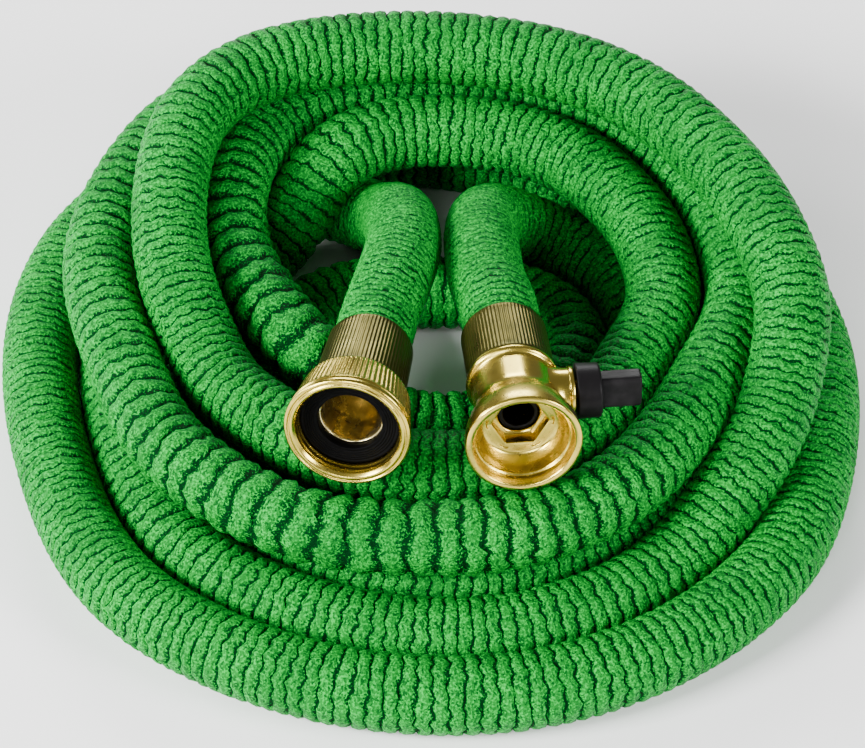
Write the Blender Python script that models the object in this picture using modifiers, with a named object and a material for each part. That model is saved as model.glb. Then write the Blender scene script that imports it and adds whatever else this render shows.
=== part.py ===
"""Expanding garden hose: a ribbed fabric sleeve lying in a loose coil, with a swivel
coupling on one end and a shut-off valve on the other, both laid on the front of the coil.

Units are metres, +Z is up, and the coil lies on z = 0. The valve's and the coupling's
mouths point towards -Y. Bearings are degrees seen from above, counterclockwise from +X,
so 270 is the front of the coil and 180 its left side.
"""
from math import cos, pi, radians, sin

import bmesh
import bpy
import numpy as np
from mathutils import Matrix, Vector

COLLECTION = "garden_hose"

# Driving sizes.
HOSE_DIAMETER = 0.021
HOSE_RADIUS = HOSE_DIAMETER / 2
FLOOR = HOSE_RADIUS                # height of the centre line where the hose lies on the ground
ROUTE_STEP = 0.016                 # spacing of the tube's points along the route
ASSEMBLY_GAP = 0.0003              # between pieces that touch
STRAIGHT_LEAD = (ASSEMBLY_GAP, 0.0045, 0.0125)   # the hose leaves a fitting along its axis
RUNNING_GAP = 0.0004               # between pieces that turn in each other
ROUND_STEPS = 40                   # facets round a turned piece
COIL_CENTRE = Vector((0.0007, -0.0027, -0.0004))

# The two end fittings, from the middle of the back face to the middle of the mouth.
COUPLING_BACK = Vector((-0.0165, -0.0340, 0.0550)) + COIL_CENTRE
COUPLING_MOUTH = Vector((-0.0224, -0.0722, 0.0590)) + COIL_CENTRE
VALVE_BACK = Vector((0.0197, -0.0272, 0.0534)) + COIL_CENTRE
VALVE_MOUTH = Vector((0.0246, -0.0752, 0.0574)) + COIL_CENTRE

# Swivel coupling: distances along its axis start at the back face of its ferrule.
COUPLING_LENGTH = (COUPLING_MOUTH - COUPLING_BACK).length
FERRULE_LENGTH = 0.0222
FERRULE_BACK_RADIUS = 0.0116
FERRULE_FRONT_RADIUS = 0.0126
TAIL_RADIUS = 0.0086               # the spigot inside the ferrule and the hose
TAIL_BACK = 0.0020
TAIL_BORE_RADIUS = 0.0050
TAIL_FUNNEL_RADIUS = 0.0081
FLANGE_RADIUS = 0.0132
FLANGE_THICKNESS = 0.0030
NUT_BACK = FERRULE_LENGTH + 0.0006
NUT_BACK_WALL = 0.0050
NUT_BACK_RADIUS = 0.0144
NUT_RADIUS = 0.0171
NUT_BORE_RADIUS = 0.0139           # inside a 3/4 inch garden hose thread
NUT_LIP = 0.0007                   # rounding of the rim
WASHER_RADIUS = 0.0135
WASHER_HOLE_RADIUS = 0.0086
WASHER_THICKNESS = 0.0026

# Shut-off valve: distances along its axis start at the back face of its ferrule.
VALVE_LENGTH = (VALVE_MOUTH - VALVE_BACK).length
VALVE_FERRULE_LENGTH = 0.0198
VALVE_FERRULE_RADIUS = 0.0119
BEAD_RADIUS = 0.0127
BEAD_WIDTH = 0.0024
NECK_RADIUS = 0.0114
BELL_RADIUS = 0.0156
BELL_START = 0.0335
BELL_LIP = 0.0009                  # rounding of the rim
MOUTH_RADIUS = 0.0132
BOWL_FLOOR = 0.0385
BOWL_FLOOR_RADIUS = 0.0098
HEX_ACROSS_FLATS = 0.0134
HEX_FLOOR = 0.0350
SEAT_RADIUS = 0.0054
SEAT_BORE_RADIUS = 0.0041
SEAT_THICKNESS = 0.0020
VALVE_BORE_RADIUS = 0.0043
STEM_AT = 0.0266                   # where the stem crosses the valve's axis
BALL_RADIUS = 0.0073
BALL_BORE_RADIUS = 0.0043
BOSS_RADIUS = 0.0060
BOSS_RING_RADIUS = 0.0067
BOSS_RING_WIDTH = 0.0014
BOSS_END = 0.0158                  # from the valve's axis, along the stem
STEM_RADIUS = 0.0028
STEM_END = 0.0218
HUB_RADIUS = 0.0076
HUB_THICKNESS = 0.0068
GRIP_LENGTH = 0.0112               # beyond the hub, along the stem
GRIP_WIDTH = 0.0050                # along the water way when open
GRIP_THICKNESS = 0.0096            # up and down when open

# The route, from the coupling to the valve: 3.8 m in about seven turns. Each row of a turn
# is its bearing in degrees, its distance from the coil's centre and its height.
COUPLING_RUN = (                   # x, y, z: over the coil's middle and down behind it
    (-0.0118, -0.0085, 0.0529), (-0.0094, 0.0055, 0.0500), (-0.0080, 0.0190, 0.0453),
    (-0.0082, 0.0340, 0.0392), (-0.0096, 0.0483, 0.0312), (-0.0122, 0.0600, 0.0218),
    (-0.0176, 0.0704, 0.0140), (-0.0262, 0.0788, 0.0108))
TURN_1 = (                         # on the ground, then climbs at the right to the top
    (114, .0898, .0105), (121.5, .0956, .0105), (129, .0984, .0105), (137, .0989, .0105),
    (147, .0980, .0105), (160, .0937, .0105), (180, .0889, .0105), (198, .0883, .0105),
    (212, .0912, .0105), (225, .0950, .0105), (240, .0967, .0105), (255, .0983, .0105),
    (270, .0996, .0105), (285, .1004, .0105), (300, .0994, .0105), (313, .0980, .0120),
    (325, .0980, .0200), (337, .1000, .0295), (347, .1006, .0394), (357, .1000, .0474),
    (8, .0965, .0525), (20, .0945, .0542), (35, .0945, .0545), (50, .0970, .0542),
    (65, .0987, .0540), (80, .0993, .0540), (95, .1005, .0540), (110, .1020, .0545))
TURN_2 = (                         # comes down at the left, then the bright inner loop
    (120, .1020, .0550), (132, .0980, .0550), (145, .0890, .0525), (155, .0820, .0485),
    (165, .0760, .0443), (175, .0705, .0405), (185, .0658, .0362), (195, .0630, .0332),
    (205, .0613, .0320), (217, .0590, .0320), (229, .0575, .0320), (242, .0568, .0320),
    (256, .0565, .0320), (270, .0573, .0320), (285, .0582, .0320), (300, .0586, .0320),
    (313, .0585, .0320), (325, .0578, .0320), (337, .0573, .0320), (349, .0587, .0320),
    (0, .0624, .0320), (12, .0669, .0320), (25, .0711, .0320), (37, .0755, .0320),
    (49, .0798, .0322), (60, .0842, .0326), (72, .0868, .0329), (84, .0873, .0331),
    (97, .0858, .0334), (106, .0825, .0334), (115, .0778, .0292))
TURN_3 = (                         # down to the ground under the next turns
    (120, .0750, .0234), (126, .0732, .0176), (132, .0727, .0137), (139, .0720, .0113),
    (147, .0708, .0105), (165, .0680, .0105), (180, .0671, .0105), (195, .0664, .0105),
    (210, .0687, .0105), (225, .0730, .0105), (240, .0748, .0105), (255, .0764, .0105),
    (270, .0777, .0105), (285, .0784, .0105), (300, .0777, .0105), (313, .0767, .0105),
    (325, .0780, .0105), (337, .0830, .0105), (350, .0870, .0105), (5, .0885, .0105),
    (20, .0897, .0105), (35, .0917, .0105), (48, .0945, .0105), (65, .0980, .0105),
    (80, .1017, .0105), (95, .1065, .0105), (108, .1135, .0105))
TURN_4 = (                         # outermost on the ground, climbing again at the back
    (120, .1193, .0105), (132, .1210, .0105), (145, .1207, .0105), (160, .1167, .0105),
    (180, .1108, .0105), (200, .1100, .0105), (212, .1130, .0105), (225, .1168, .0105),
    (240, .1186, .0105), (255, .1201, .0105), (270, .1214, .0105), (285, .1222, .0105),
    (300, .1214, .0105), (313, .1198, .0105), (325, .1176, .0105), (337, .1136, .0105),
    (350, .1108, .0105), (5, .1104, .0105), (20, .1113, .0105), (35, .1134, .0105),
    (50, .1171, .0120), (65, .1215, .0145), (80, .1260, .0170), (95, .1270, .0210),
    (107, .1260, .0280))
TURN_5 = (                         # second layer, all the way round
    (120, .1213, .0325), (132, .1155, .0326), (145, .1080, .0324), (160, .1005, .0314),
    (170, .0948, .0318), (180, .0897, .0323), (192, .0862, .0322), (204, .0858, .0322),
    (216, .0860, .0320), (228, .0855, .0316), (240, .0853, .0310), (255, .0843, .0310),
    (270, .0835, .0312), (285, .0835, .0312), (300, .0828, .0313), (313, .0811, .0316),
    (325, .0793, .0322), (337, .0788, .0323), (347, .0801, .0322), (357, .0840, .0324),
    (8, .0887, .0324), (20, .0922, .0323), (35, .0970, .0323), (50, .1030, .0323),
    (65, .1072, .0323), (80, .1090, .0323), (95, .1077, .0323), (107, .1042, .0323))
TURN_6 = (                         # inwards over turn 3, to below the coupling
    (117, .0993, .0330), (126, .0918, .0348), (134, .0825, .0354), (141, .0743, .0343),
    (149, .0652, .0328), (157, .0565, .0324), (166, .0485, .0323), (177, .0420, .0323),
    (188, .0377, .0318))
INNER_LOOP = (                     # x, y, z: a small loop on the ground in the middle
    (-0.0296, -0.0125, 0.0277), (-0.0195, -0.0180, 0.0197), (-0.0070, -0.0190, 0.0130),
    (0.0070, -0.0180, 0.0107), (0.0210, -0.0140, 0.0105), (0.0330, -0.0055, 0.0105),
    (0.0398, 0.0070, 0.0105), (0.0394, 0.0210, 0.0105), (0.0320, 0.0325, 0.0105),
    (0.0200, 0.0390, 0.0105), (0.0060, 0.0407, 0.0105), (-0.0080, 0.0405, 0.0105),
    (-0.0220, 0.0388, 0.0105), (-0.0340, 0.0323, 0.0105))
TURN_7 = (                         # innermost on the ground, under the bright loop
    (152, .0473, .0105), (170, .0457, .0105), (187, .0450, .0105), (200, .0452, .0105),
    (215, .0481, .0105), (230, .0510, .0105), (245, .0530, .0105), (260, .0548, .0105),
    (275, .0560, .0105), (290, .0562, .0105), (305, .0553, .0105), (317, .0547, .0105),
    (330, .0573, .0105), (345, .0612, .0105), (0, .0642, .0105), (15, .0657, .0105),
    (27, .0665, .0105))
VALVE_RUN = (                      # x, y, z: turns back, climbs and comes forward
    (0.0562, 0.0420, 0.0105), (0.0494, 0.0515, 0.0108), (0.0399, 0.0580, 0.0120),
    (0.0294, 0.0600, 0.0167), (0.0205, 0.0563, 0.0240), (0.0160, 0.0490, 0.0303),
    (0.0146, 0.0390, 0.0356), (0.0142, 0.0272, 0.0404), (0.0147, 0.0130, 0.0449),
    (0.0160, -0.0010, 0.0487))

# Name: colour, roughness, metallic.
FINISHES = {
    "green_fabric": ((0.03, 0.33, 0.07, 1), 0.85, 0.0),
    "brass": ((0.72, 0.52, 0.23, 1), 0.30, 1.0),
    "black_rubber": ((0.015, 0.015, 0.016, 1), 0.70, 0.0),
    "black_plastic": ((0.020, 0.018, 0.020, 1), 0.45, 0.0),
}


def clear_scene():
    for obj in list(bpy.data.objects):
        bpy.data.objects.remove(obj, do_unlink=True)


def new_collection(name):
    collection = bpy.data.collections.new(name)
    bpy.context.scene.collection.children.link(collection)
    return collection


def material(name):
    """One Principled material for each finish."""
    if name in bpy.data.materials:
        return bpy.data.materials[name]
    colour, roughness, metallic = FINISHES[name]
    mat = bpy.data.materials.new(name)
    mat.use_nodes = True
    shader = mat.node_tree.nodes["Principled BSDF"]
    shader.inputs["Base Color"].default_value = colour
    shader.inputs["Roughness"].default_value = roughness
    shader.inputs["Metallic"].default_value = metallic
    return mat


def axis_frame(back, mouth):
    """A frame at the back of a fitting: +Z runs to its mouth and +X is level, to the right."""
    z = (mouth - back).normalized()
    x = Vector((0, 0, 1)).cross(z).normalized()
    y = z.cross(x)
    return Matrix.Translation(back) @ Matrix((x, y, z)).transposed().to_4x4()


def empty(name, matrix, collection):
    obj = bpy.data.objects.new(name, None)
    obj.empty_display_size = 0.02
    obj.matrix_world = matrix
    collection.objects.link(obj)
    return obj


def add_mesh(name, mesh, parent, collection, finish=None):
    obj = bpy.data.objects.new(name, mesh)
    collection.objects.link(obj)
    obj.parent = parent
    if finish:
        mesh.materials.append(material(finish))
    return obj


def mark_cutter(obj):
    obj.hide_render = True
    obj.display_type = 'WIRE'
    return obj


def turned(name, profile, parent, collection, finish=None):
    """A closed profile of (radius, distance) points, turned round the parent's Z axis.

    The points run down the outer side, from the mouth to the back, and back up inside.
    """
    mesh = bpy.data.meshes.new(name)
    points = [(radius, 0, along) for radius, along in profile]
    count = len(points)
    mesh.from_pydata(points, [(i, (i + 1) % count) for i in range(count)], [])
    obj = add_mesh(name, mesh, parent, collection, finish)
    screw = obj.modifiers.new("turn", 'SCREW')
    screw.axis = 'Z'
    screw.angle = 2 * pi
    screw.steps = screw.render_steps = ROUND_STEPS
    screw.use_merge_vertices = True
    screw.merge_threshold = 0.00001
    screw.use_smooth_shade = True
    return obj


def cylinder(name, radius, start, end, parent, collection, finish=None, sides=ROUND_STEPS,
             turn=0.0):
    """A solid cylinder or prism along the parent's Z axis, from start to end."""
    mesh = bpy.data.meshes.new(name)
    bm = bmesh.new()
    bmesh.ops.create_cone(
        bm, cap_ends=True, segments=sides, radius1=radius, radius2=radius, depth=end - start,
        matrix=Matrix.Translation((0, 0, (start + end) / 2)) @ Matrix.Rotation(turn, 4, 'Z'))
    bm.to_mesh(mesh)
    bm.free()
    return add_mesh(name, mesh, parent, collection, finish)


def box(name, size, centre, parent, collection):
    mesh = bpy.data.meshes.new(name)
    bm = bmesh.new()
    bmesh.ops.create_cube(bm, size=1.0)
    bmesh.ops.scale(bm, vec=size, verts=bm.verts)
    bmesh.ops.translate(bm, vec=centre, verts=bm.verts)
    bm.to_mesh(mesh)
    bm.free()
    return add_mesh(name, mesh, parent, collection)


def boolean(obj, other, operation):
    modifier = obj.modifiers.new(other.name, 'BOOLEAN')
    modifier.operation = operation
    modifier.solver = 'EXACT'
    modifier.object = other


def arc(centre, radius, start, end, steps):
    """Points (radius, distance) of a rounding, angles in degrees from the radial direction."""
    angles = [radians(start + (end - start) * i / steps) for i in range(steps + 1)]
    return [(centre[0] + radius * cos(a), centre[1] + radius * sin(a)) for a in angles]


def turn_points(rows):
    """World points of one turn of the coil."""
    return [COIL_CENTRE + Vector((r * cos(radians(b)), r * sin(radians(b)), z))
            for b, r, z in rows]


def route_points():
    """The hand-chosen points, with a straight lead out of each fitting."""
    coupling = axis_frame(COUPLING_BACK, COUPLING_MOUTH)
    valve = axis_frame(VALVE_BACK, VALVE_MOUTH)
    points = [coupling @ Vector((0, 0, -lead)) for lead in STRAIGHT_LEAD]
    points += [COIL_CENTRE + Vector(p) for p in COUPLING_RUN]
    for turn in (TURN_1, TURN_2, TURN_3, TURN_4, TURN_5, TURN_6):
        points += turn_points(turn)
    points += [COIL_CENTRE + Vector(p) for p in INNER_LOOP]
    points += turn_points(TURN_7)
    points += [COIL_CENTRE + Vector(p) for p in VALVE_RUN]
    points += [valve @ Vector((0, 0, -lead)) for lead in reversed(STRAIGHT_LEAD)]
    return np.array([tuple(p) for p in points])


def smooth_curve(points, step):
    """Points every step metres on the natural cubic spline through the given points."""
    gaps = np.linalg.norm(np.diff(points, axis=0), axis=1)
    stations = np.concatenate(([0.0], np.cumsum(gaps)))
    count = len(points)
    system = np.eye(count)
    rhs = np.zeros((count, 3))
    inner = np.arange(1, count - 1)
    system[inner, inner - 1] = gaps[:-1]
    system[inner, inner] = 2 * (gaps[:-1] + gaps[1:])
    system[inner, inner + 1] = gaps[1:]
    slopes = np.diff(points, axis=0) / gaps[:, None]
    rhs[inner] = 6 * np.diff(slopes, axis=0)
    bend = np.linalg.solve(system, rhs)

    along = np.linspace(0.0, stations[-1], int(round(stations[-1] / step)) + 1)
    left = np.clip(np.searchsorted(stations, along, side='right') - 1, 0, count - 2)
    gap = gaps[left][:, None]
    to_right = (stations[left + 1] - along)[:, None]
    to_left = (along - stations[left])[:, None]
    return ((bend[left] * to_right ** 3 + bend[left + 1] * to_left ** 3) / (6 * gap)
            + (points[left] / gap - bend[left] * gap / 6) * to_right
            + (points[left + 1] / gap - bend[left + 1] * gap / 6) * to_left)


def build_hose(parts):
    """The sleeve, one tube from the coupling's ferrule to the valve's."""
    points = route_points()
    between = smooth_curve(points[1:-1], ROUTE_STEP)
    centres = np.vstack((points[:1], between, points[-1:]))
    curve = bpy.data.curves.new("hose_sleeve", 'CURVE')
    curve.dimensions = '3D'
    curve.twist_mode = 'Z_UP'
    curve.bevel_depth = HOSE_RADIUS
    curve.bevel_resolution = 3
    curve.use_fill_caps = True
    spline = curve.splines.new('POLY')
    spline.points.add(len(centres) - 1)
    spline.points.foreach_set("co", np.column_stack((centres, np.ones(len(centres)))).ravel())
    curve.materials.append(material("green_fabric"))
    parts.objects.link(bpy.data.objects.new("hose_sleeve", curve))


def build_coupling(parts):
    """The female end: ferrule, spigot with its flange, rubber washer and swivel nut."""
    fitting = empty("coupling_axis", axis_frame(COUPLING_BACK, COUPLING_MOUTH), parts)
    tail_hole = TAIL_RADIUS + ASSEMBLY_GAP
    turned("coupling_ferrule", [
        (FERRULE_FRONT_RADIUS - 0.0006, FERRULE_LENGTH),
        (FERRULE_FRONT_RADIUS, FERRULE_LENGTH - 0.0006),
        (FERRULE_BACK_RADIUS, 0.0010),
        (FERRULE_BACK_RADIUS - 0.0006, 0.0),
        (tail_hole, 0.0),
        (tail_hole, FERRULE_LENGTH),
    ], fitting, parts, "brass")

    flange_back = NUT_BACK + NUT_BACK_WALL + RUNNING_GAP
    flange_front = flange_back + FLANGE_THICKNESS
    turned("coupling_spigot", [
        (FLANGE_RADIUS, flange_front),
        (FLANGE_RADIUS, flange_back),
        (TAIL_RADIUS, flange_back),
        (TAIL_RADIUS, TAIL_BACK),
        (TAIL_BORE_RADIUS, TAIL_BACK),
        (TAIL_BORE_RADIUS, 0.0130),
        (0.0066, 0.0175),
        (0.0076, 0.0225),
        (TAIL_FUNNEL_RADIUS, flange_front),
    ], fitting, parts, "brass")

    washer_back = flange_front + ASSEMBLY_GAP
    washer_front = washer_back + WASHER_THICKNESS
    turned("rubber_washer", [
        (WASHER_RADIUS, washer_front),
        (WASHER_RADIUS, washer_back),
        (WASHER_HOLE_RADIUS, washer_back),
        (WASHER_HOLE_RADIUS, washer_front),
    ], fitting, parts, "black_rubber")

    swivel = empty("swivel_axis", Matrix.Translation((0, 0, NUT_BACK)), parts)
    swivel.parent = fitting
    length = COUPLING_LENGTH - NUT_BACK
    rim = arc((NUT_RADIUS - NUT_LIP, length - NUT_LIP), NUT_LIP, 90, 0, 3)
    turned("swivel_nut", rim + [
        (NUT_RADIUS, length - 0.0028),
        (NUT_RADIUS - 0.0003, length - 0.0040),
        (NUT_BACK_RADIUS + 0.0004, 0.0030),
        (NUT_BACK_RADIUS, 0.0012),
        (NUT_BACK_RADIUS - 0.0010, 0.0),
        (TAIL_RADIUS + RUNNING_GAP, 0.0),
        (TAIL_RADIUS + RUNNING_GAP, NUT_BACK_WALL),
        (NUT_BORE_RADIUS, NUT_BACK_WALL),
        (NUT_BORE_RADIUS, length - 0.0012),
        (NUT_BORE_RADIUS + 0.0008, length),
    ], swivel, parts, "brass")


def build_valve(parts, cutters):
    """The male end: ferrule, one-piece body, seat, ball, stem and handle."""
    fitting = empty("valve_axis", axis_frame(VALVE_BACK, VALVE_MOUTH), parts)
    tail_hole = TAIL_RADIUS + ASSEMBLY_GAP
    turned("valve_ferrule", [
        (VALVE_FERRULE_RADIUS - 0.0005, VALVE_FERRULE_LENGTH),
        (VALVE_FERRULE_RADIUS, VALVE_FERRULE_LENGTH - 0.0006),
        (FERRULE_BACK_RADIUS, 0.0010),
        (FERRULE_BACK_RADIUS - 0.0006, 0.0),
        (tail_hole, 0.0),
        (tail_hole, VALVE_FERRULE_LENGTH),
    ], fitting, parts, "brass")

    stem = empty("stem_axis", Matrix.Translation((0, 0, STEM_AT)) @ Matrix.Rotation(pi / 2, 4, 'Y'),
                 parts)
    stem.parent = fitting

    bead_back = VALVE_FERRULE_LENGTH + ASSEMBLY_GAP
    bead = arc((BEAD_RADIUS - 0.0008, bead_back + BEAD_WIDTH / 2), BEAD_WIDTH / 2, 60, -60, 4)
    rim = arc((BELL_RADIUS - BELL_LIP, VALVE_LENGTH - BELL_LIP), BELL_LIP, 90, 0, 3)
    seat_back = BOWL_FLOOR - 0.0062
    body = turned("valve_body", rim + [
        (BELL_RADIUS - 0.0001, VALVE_LENGTH - 0.0042),
        (BELL_RADIUS - 0.0012, VALVE_LENGTH - 0.0080),
        (NECK_RADIUS + 0.0010, BELL_START + 0.0026),
        (NECK_RADIUS, BELL_START),
        (NECK_RADIUS, bead_back + BEAD_WIDTH + 0.0006),
    ] + bead + [
        (TAIL_RADIUS, bead_back),
        (TAIL_RADIUS, TAIL_BACK),
        (VALVE_BORE_RADIUS, TAIL_BACK),
        (VALVE_BORE_RADIUS, seat_back),
        (SEAT_RADIUS + ASSEMBLY_GAP, seat_back),
        (SEAT_RADIUS + ASSEMBLY_GAP, BOWL_FLOOR),
        (BOWL_FLOOR_RADIUS, BOWL_FLOOR),
        (0.0112, BOWL_FLOOR + 0.0008),
        (0.0118, BOWL_FLOOR + 0.0022),
        (0.0127, VALVE_LENGTH - 0.0042),
        (MOUTH_RADIUS, VALVE_LENGTH - 0.0006),
        (MOUTH_RADIUS + 0.0004, VALVE_LENGTH),
    ], fitting, parts, "brass")
    boss = turned("boss_shape", [
        (BOSS_RING_RADIUS - 0.0003, BOSS_END),
        (BOSS_RING_RADIUS, BOSS_END - 0.0004),
        (BOSS_RING_RADIUS, BOSS_END - BOSS_RING_WIDTH),
        (BOSS_RADIUS, BOSS_END - BOSS_RING_WIDTH - 0.0005),
        (BOSS_RADIUS, 0.0088),
        (0.0, 0.0088),
        (0.0, BOSS_END),
    ], stem, cutters)
    boolean(body, mark_cutter(boss), 'UNION')
    chamber = bpy.data.meshes.new("ball_chamber")
    bm = bmesh.new()
    bmesh.ops.create_uvsphere(bm, u_segments=24, v_segments=14, radius=BALL_RADIUS + RUNNING_GAP)
    bm.to_mesh(chamber)
    bm.free()
    boolean(body, mark_cutter(add_mesh("ball_chamber", chamber, stem, cutters)), 'DIFFERENCE')
    stem_hole = cylinder("stem_hole", STEM_RADIUS + RUNNING_GAP, 0.0, BOSS_END + 0.002,
                         stem, cutters, sides=24)
    boolean(body, mark_cutter(stem_hole), 'DIFFERENCE')
    hexagon = cylinder("hex_recess", HEX_ACROSS_FLATS / 2 / cos(pi / 6), HEX_FLOOR,
                       BOWL_FLOOR + 0.001, fitting, cutters, sides=6)
    boolean(body, mark_cutter(hexagon), 'DIFFERENCE')

    seat_from = seat_back + ASSEMBLY_GAP
    turned("valve_seat", [
        (SEAT_RADIUS, seat_from + SEAT_THICKNESS),
        (SEAT_RADIUS, seat_from),
        (SEAT_BORE_RADIUS, seat_from),
        (SEAT_BORE_RADIUS, seat_from + SEAT_THICKNESS),
    ], fitting, parts, "black_rubber")

    ball = bpy.data.meshes.new("valve_ball")
    bm = bmesh.new()
    bmesh.ops.create_uvsphere(bm, u_segments=24, v_segments=14, radius=BALL_RADIUS)
    bm.to_mesh(ball)
    bm.free()
    ball = add_mesh("valve_ball", ball, stem, parts, "brass")
    way = cylinder("ball_way", BALL_BORE_RADIUS, -0.010, 0.010, stem, cutters, sides=24)
    way.rotation_euler = (0, pi / 2, 0)
    boolean(ball, mark_cutter(way), 'DIFFERENCE')

    cylinder("valve_stem", STEM_RADIUS, BALL_RADIUS + ASSEMBLY_GAP, STEM_END, stem, parts,
             "brass", sides=20)
    build_handle(stem, parts, cutters)


def build_handle(stem, parts, cutters):
    """The black handle: a round hub on the stem and a flat grip, in line when open."""
    hub_from = BOSS_END + RUNNING_GAP
    hub_end = hub_from + HUB_THICKNESS
    socket_end = STEM_END + ASSEMBLY_GAP
    handle = turned("valve_handle", [
        (HUB_RADIUS - 0.0010, hub_end),
        (HUB_RADIUS, hub_end - 0.0010),
        (HUB_RADIUS, hub_from + 0.0004),
        (HUB_RADIUS - 0.0004, hub_from),
        (STEM_RADIUS + ASSEMBLY_GAP, hub_from),
        (STEM_RADIUS + ASSEMBLY_GAP, socket_end),
        (0.0, socket_end),
        (0.0, hub_end),
    ], stem, parts, "black_plastic")
    grip = box("grip_shape", (GRIP_WIDTH, GRIP_THICKNESS, GRIP_LENGTH + 0.0004),
               (0, 0, hub_end + GRIP_LENGTH / 2 - 0.0002), stem, cutters)
    bevel = grip.modifiers.new("edges", 'BEVEL')
    bevel.width = 0.0010
    bevel.segments = 2
    boolean(handle, mark_cutter(grip), 'UNION')


def main():
    clear_scene()
    parts = new_collection(COLLECTION)
    cutters = new_collection("cutters")
    cutters.hide_render = True
    build_hose(parts)
    build_coupling(parts)
    build_valve(parts, cutters)


main()
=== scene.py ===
"""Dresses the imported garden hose: a gathered knit sleeve in a loose coil, knurled brass
ferrules, a swivel nut with its washer, and a shut-off valve with a black lever.

Everything is in metres in the frame of the CAD model: +Z up, the mouths towards -Y.
"""

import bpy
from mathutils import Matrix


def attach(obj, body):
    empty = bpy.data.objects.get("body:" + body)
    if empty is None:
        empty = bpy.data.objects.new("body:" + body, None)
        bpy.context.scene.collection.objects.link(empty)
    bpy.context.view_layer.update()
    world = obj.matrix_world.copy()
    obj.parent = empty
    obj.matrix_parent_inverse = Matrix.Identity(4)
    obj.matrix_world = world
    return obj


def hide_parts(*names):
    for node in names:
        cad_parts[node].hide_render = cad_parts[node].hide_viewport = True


bl_info = {
    "name": "Garden hose dressing",
    "version": (1, 0, 0),
    "blender": (4, 5, 0),
    "location": "3D View > Sidebar > Garden hose",
    "description": "Builds the ribbed hose and the brass fittings round the packed CAD part",
    "category": "Object",
}

from math import cos, pi, radians, sin, tau

import bpy
import numpy as np
from bpy.props import (FloatProperty, FloatVectorProperty, IntProperty,
                       PointerProperty)
from mathutils import Vector

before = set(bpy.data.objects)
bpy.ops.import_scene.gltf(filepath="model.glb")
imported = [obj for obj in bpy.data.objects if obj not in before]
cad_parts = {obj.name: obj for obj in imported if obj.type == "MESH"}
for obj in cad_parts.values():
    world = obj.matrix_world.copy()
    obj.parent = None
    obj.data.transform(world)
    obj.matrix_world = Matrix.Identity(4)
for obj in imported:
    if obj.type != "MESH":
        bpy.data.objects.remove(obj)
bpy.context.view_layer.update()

# Sizes and places of the CAD model. Distances in a fitting are from its back.
COIL_CENTRE = np.array((0.0007, -0.0027, -0.0004))
COUPLING_BACK = np.array((-0.0165, -0.0340, 0.0550)) + COIL_CENTRE
COUPLING_MOUTH = np.array((-0.0224, -0.0722, 0.0590)) + COIL_CENTRE
VALVE_BACK = np.array((0.0197, -0.0272, 0.0534)) + COIL_CENTRE
VALVE_MOUTH = np.array((0.0246, -0.0752, 0.0574)) + COIL_CENTRE
COUPLING_LENGTH = float(np.linalg.norm(COUPLING_MOUTH - COUPLING_BACK))
VALVE_LENGTH = float(np.linalg.norm(VALVE_MOUTH - VALVE_BACK))
STRAIGHT_LEAD = (0.0003, 0.0045, 0.0125)    # points of the hose behind a ferrule's back
NUT_BORE = 0.0139
STEM_AT = 0.0266
BALL_CHAMBER = 0.0077
VALVE_BORE = 0.0043
HEX_SIDE = 0.0067                           # from the axis to a side of the recess
HEX_BACK, HEX_FRONT = 0.0350, 0.0385

# The hose's route, as in the CAD model, in degrees and tenths of a millimetre. Rows of a
# turn: bearing, distance from the coil's centre, and height where the hose doesn't lie on
# the floor. Rows of a run: x, y, z from the coil's centre.
TENTHS = 10000.0                            # in a metre
ON_FLOOR = 105
COUPLING_RUN = (
    (-118, -85, 529), (-94, 55, 500), (-80, 190, 453), (-82, 340, 392), (-96, 483, 312),
    (-122, 600, 218), (-176, 704, 140), (-262, 788, 108))
TURN_1 = (
    (114, 898), (121.5, 956), (129, 984), (137, 989), (147, 980), (160, 937), (180, 889),
    (198, 883), (212, 912), (225, 950), (240, 967), (255, 983), (270, 996), (285, 1004),
    (300, 994), (313, 980, 120), (325, 980, 200), (337, 1000, 295), (347, 1006, 394),
    (357, 1000, 474), (8, 965, 525), (20, 945, 542), (35, 945, 545), (50, 970, 542),
    (65, 987, 540), (80, 993, 540), (95, 1005, 540), (110, 1020, 545))
TURN_2 = (
    (120, 1020, 550), (132, 980, 550), (145, 890, 525), (155, 820, 485), (165, 760, 443),
    (175, 705, 405), (185, 658, 362), (195, 630, 332), (205, 613, 320), (217, 590, 320),
    (229, 575, 320), (242, 568, 320), (256, 565, 320), (270, 573, 320), (285, 582, 320),
    (300, 586, 320), (313, 585, 320), (325, 578, 320), (337, 573, 320), (349, 587, 320),
    (0, 624, 320), (12, 669, 320), (25, 711, 320), (37, 755, 320), (49, 798, 322),
    (60, 842, 326), (72, 868, 329), (84, 873, 331), (97, 858, 334), (106, 825, 334),
    (115, 778, 292))
TURN_3 = (
    (120, 750, 234), (126, 732, 176), (132, 727, 137), (139, 720, 113), (147, 708),
    (165, 680), (180, 671), (195, 664), (210, 687), (225, 730), (240, 748), (255, 764),
    (270, 777), (285, 784), (300, 777), (313, 767), (325, 780), (337, 830), (350, 870),
    (5, 885), (20, 897), (35, 917), (48, 945), (65, 980), (80, 1017), (95, 1065),
    (108, 1135))
TURN_4 = (
    (120, 1193), (132, 1210), (145, 1207), (160, 1167), (180, 1108), (200, 1100),
    (212, 1130), (225, 1168), (240, 1186), (255, 1201), (270, 1214), (285, 1222),
    (300, 1214), (313, 1198), (325, 1176), (337, 1136), (350, 1108), (5, 1104), (20, 1113),
    (35, 1134), (50, 1171, 120), (65, 1215, 145), (80, 1260, 170), (95, 1270, 210),
    (107, 1260, 280))
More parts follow.
